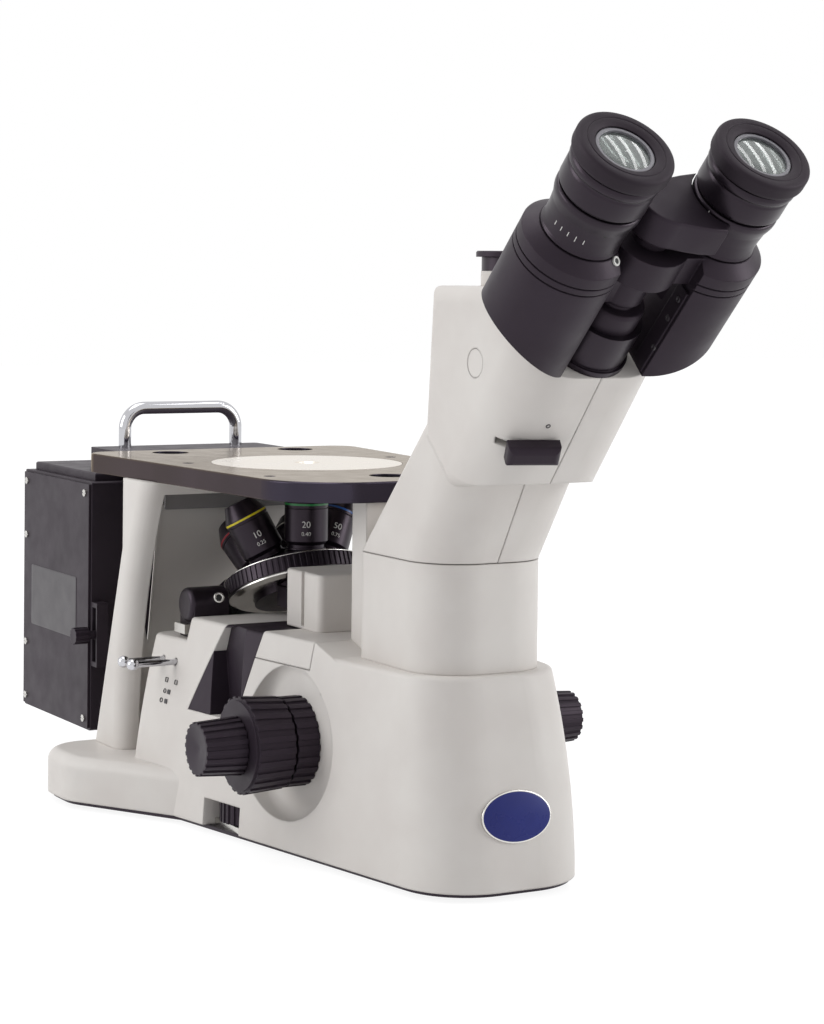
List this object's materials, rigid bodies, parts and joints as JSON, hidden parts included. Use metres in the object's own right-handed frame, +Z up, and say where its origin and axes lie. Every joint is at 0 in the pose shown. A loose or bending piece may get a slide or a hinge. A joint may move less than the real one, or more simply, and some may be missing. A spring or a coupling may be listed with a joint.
{
  "type": "inverted microscope",
  "caption": "Inverted microscope with a revolving nosepiece under a fixed stage, a binocular head, focus knobs and a rear lamp house.",
  "frame": {"origin": "on the table, straight below the optical axis at the middle of the stage's specimen hole", "axes": "+Z up, -Y toward the user and the eyepieces, +X to the user's right"},
  "size_m": [0.244, 0.6365, 0.3851],
  "materials": {
    "pale_casting": "satin paint",
    "black_metal": "satin black",
    "black_plastic": "fine grain",
    "rubber_black": "matt",
    "stage_metal": "satin black",
    "insert_metal": "satin",
    "bright_metal": "turned",
    "chrome": "polished",
    "steel": "plated",
    "lens_glass": "coated",
    "ceramic": "matt"
  },
  "bodies": {
    "stand": {"base_frame": "pale_casting", "base_plate": "black_metal", "rubber_feet": "rubber_black", "saddle": "black_plastic", "guide_cover": "pale_casting", "rear_arm": "pale_casting", "front_column": "pale_casting", "stage_support": "pale_casting", "stage_plate": "stage_metal", "stage_screws": "steel", "head_left_half": "pale_casting", "head_right_half": "pale_casting", "head_plugs": "pale_casting", "port_collar": "pale_casting", "port_sleeve": "black_metal", "head_mount": "black_metal", "wheel_bracket": "steel", "focus_guide": "pale_casting", "illuminator_housing": "black_metal", "light_tube": "black_metal", "lamp_house": "black_metal", "lamp_lid": "black_metal", "lamp_panels": "black_metal", "lamp_screws": "steel", "lamp_guide": "black_metal", "lamp_socket": "ceramic", "halogen_lamp": "lens_glass", "collector_lens": "lens_glass", "lamp_bridge": "black_metal", "carry_handle": "chrome", "power_inlet": "black_plastic", "switch_frame": "black_plastic"},
    "insert": {"stage_insert": "insert_metal"},
    "carrier": {"nosepiece_carrier": "black_metal"},
    "nosepiece": {"turret": "black_metal", "turret_rim": "bright_metal", "objectives": "black_metal", "objective_lenses": "lens_glass"},
    "coarse_drive": {"coarse_knobs": "black_plastic"},
    "fine_drive": {"fine_knobs": "black_plastic"},
    "tension_ring": {"torque_ring": "black_plastic"},
    "light_control": {"light_wheel": "black_plastic"},
    "front_rod": {"front_pull_rod": "chrome"},
    "rear_rod": {"rear_pull_rod": "chrome"},
    "path_slider": {"head_slider": "black_plastic"},
    "left_tube": {"left_prism_housing": "black_plastic", "left_eyepiece": "black_metal", "left_eye_lens": "lens_glass", "left_eyecup": "rubber_black"},
    "right_tube": {"right_prism_housing": "black_plastic", "hinge_plate": "black_plastic", "right_diopter_ring": "black_metal", "right_eyepiece": "black_metal", "right_eye_lens": "lens_glass", "right_eyecup": "rubber_black"},
    "left_ring": {"left_diopter_ring": "black_metal"},
    "cap": {"port_cap": "black_plastic"},
    "lamp_adjuster": {"lamp_knob": "black_plastic"},
    "filter": {"filter_lever": "steel"},
    "rocker": {"rocker_switch": "black_plastic"}
  },
  "joints": [
    {"name": "coarse_turn", "type": "hinge", "parent": "stand", "child": "coarse_drive", "pos_m": [0, -0.103, 0.062], "axis": [-1, 0, 0], "range_deg": [-47.76, 47.76]},
    {"name": "carrier_slide", "type": "slide", "parent": "stand", "child": "carrier", "axis": [0, 0, 1], "range_m": [-0.005, 0.005]},
    {"name": "fine_turn", "type": "hinge", "parent": "coarse_drive", "child": "fine_drive", "pos_m": [0, -0.103, 0.062], "axis": [-1, 0, 0], "continuous": true},
    {"name": "tension_turn", "type": "hinge", "parent": "stand", "child": "tension_ring", "pos_m": [-0.06, -0.103, 0.062], "axis": [-1, 0, 0], "range_deg": [-60, 60]},
    {"name": "nosepiece_turn", "type": "hinge", "parent": "carrier", "child": "nosepiece", "pos_m": [0, 0, 0.105], "axis": [0, 0.4226, 0.9063], "continuous": true},
    {"name": "insert_lift", "type": "slide", "parent": "stand", "child": "insert", "axis": [0, 0, 1], "range_m": [0, 0.02]},
    {"name": "light_wheel_turn", "type": "hinge", "parent": "stand", "child": "light_control", "pos_m": [-0.05515, -0.048, 0.014], "axis": [0, 0, 1], "range_deg": [-135, 135]},
    {"name": "front_rod_slide", "type": "slide", "parent": "stand", "child": "front_rod", "axis": [1, 0, 0], "range_m": [0, 0.018]},
    {"name": "rear_rod_slide", "type": "slide", "parent": "stand", "child": "rear_rod", "axis": [1, 0, 0], "range_m": [0, 0.018]},
    {"name": "path_slide", "type": "slide", "parent": "stand", "child": "path_slider", "axis": [-0.9444, 0.3289, 0], "range_m": [0, 0.008]},
    {"name": "left_tube_swing", "type": "hinge", "parent": "stand", "child": "left_tube", "pos_m": [0, -0.2895, 0.278], "axis": [0, -0.7071, 0.7071], "range_deg": [-41, 0]},
    {"name": "right_tube_swing", "type": "hinge", "parent": "stand", "child": "right_tube", "pos_m": [0, -0.2895, 0.278], "axis": [0, -0.7071, 0.7071], "range_deg": [0, 41]},
    {"name": "diopter_turn", "type": "hinge", "parent": "left_tube", "child": "left_ring", "pos_m": [-0.0376, -0.28795, 0.27955], "axis": [0, -0.7071, 0.7071], "range_deg": [-90, 90]},
    {"name": "cap_lift", "type": "slide", "parent": "stand", "child": "cap", "axis": [0, 0, 1], "range_m": [0, 0.012]},
    {"name": "lamp_adjust", "type": "slide", "parent": "stand", "child": "lamp_adjuster", "axis": [0, 0, 1], "range_m": [-0.012, 0.012]},
    {"name": "filter_slide", "type": "slide", "parent": "stand", "child": "filter", "axis": [-1, 0, 0], "range_m": [0, 0.004]},
    {"name": "switch_tip", "type": "hinge", "parent": "stand", "child": "rocker", "pos_m": [-0.04, 0.1107, 0.01725], "axis": [0, 0, 1], "range_deg": [0, 12]}
  ],
  "couplings": [
    {"joint": "coarse_turn", "follows": "carrier_slide", "rad_per_m": 166.67},
    {"joint": "right_tube_swing", "follows": "left_tube_swing", "ratio": -1}
  ]
}
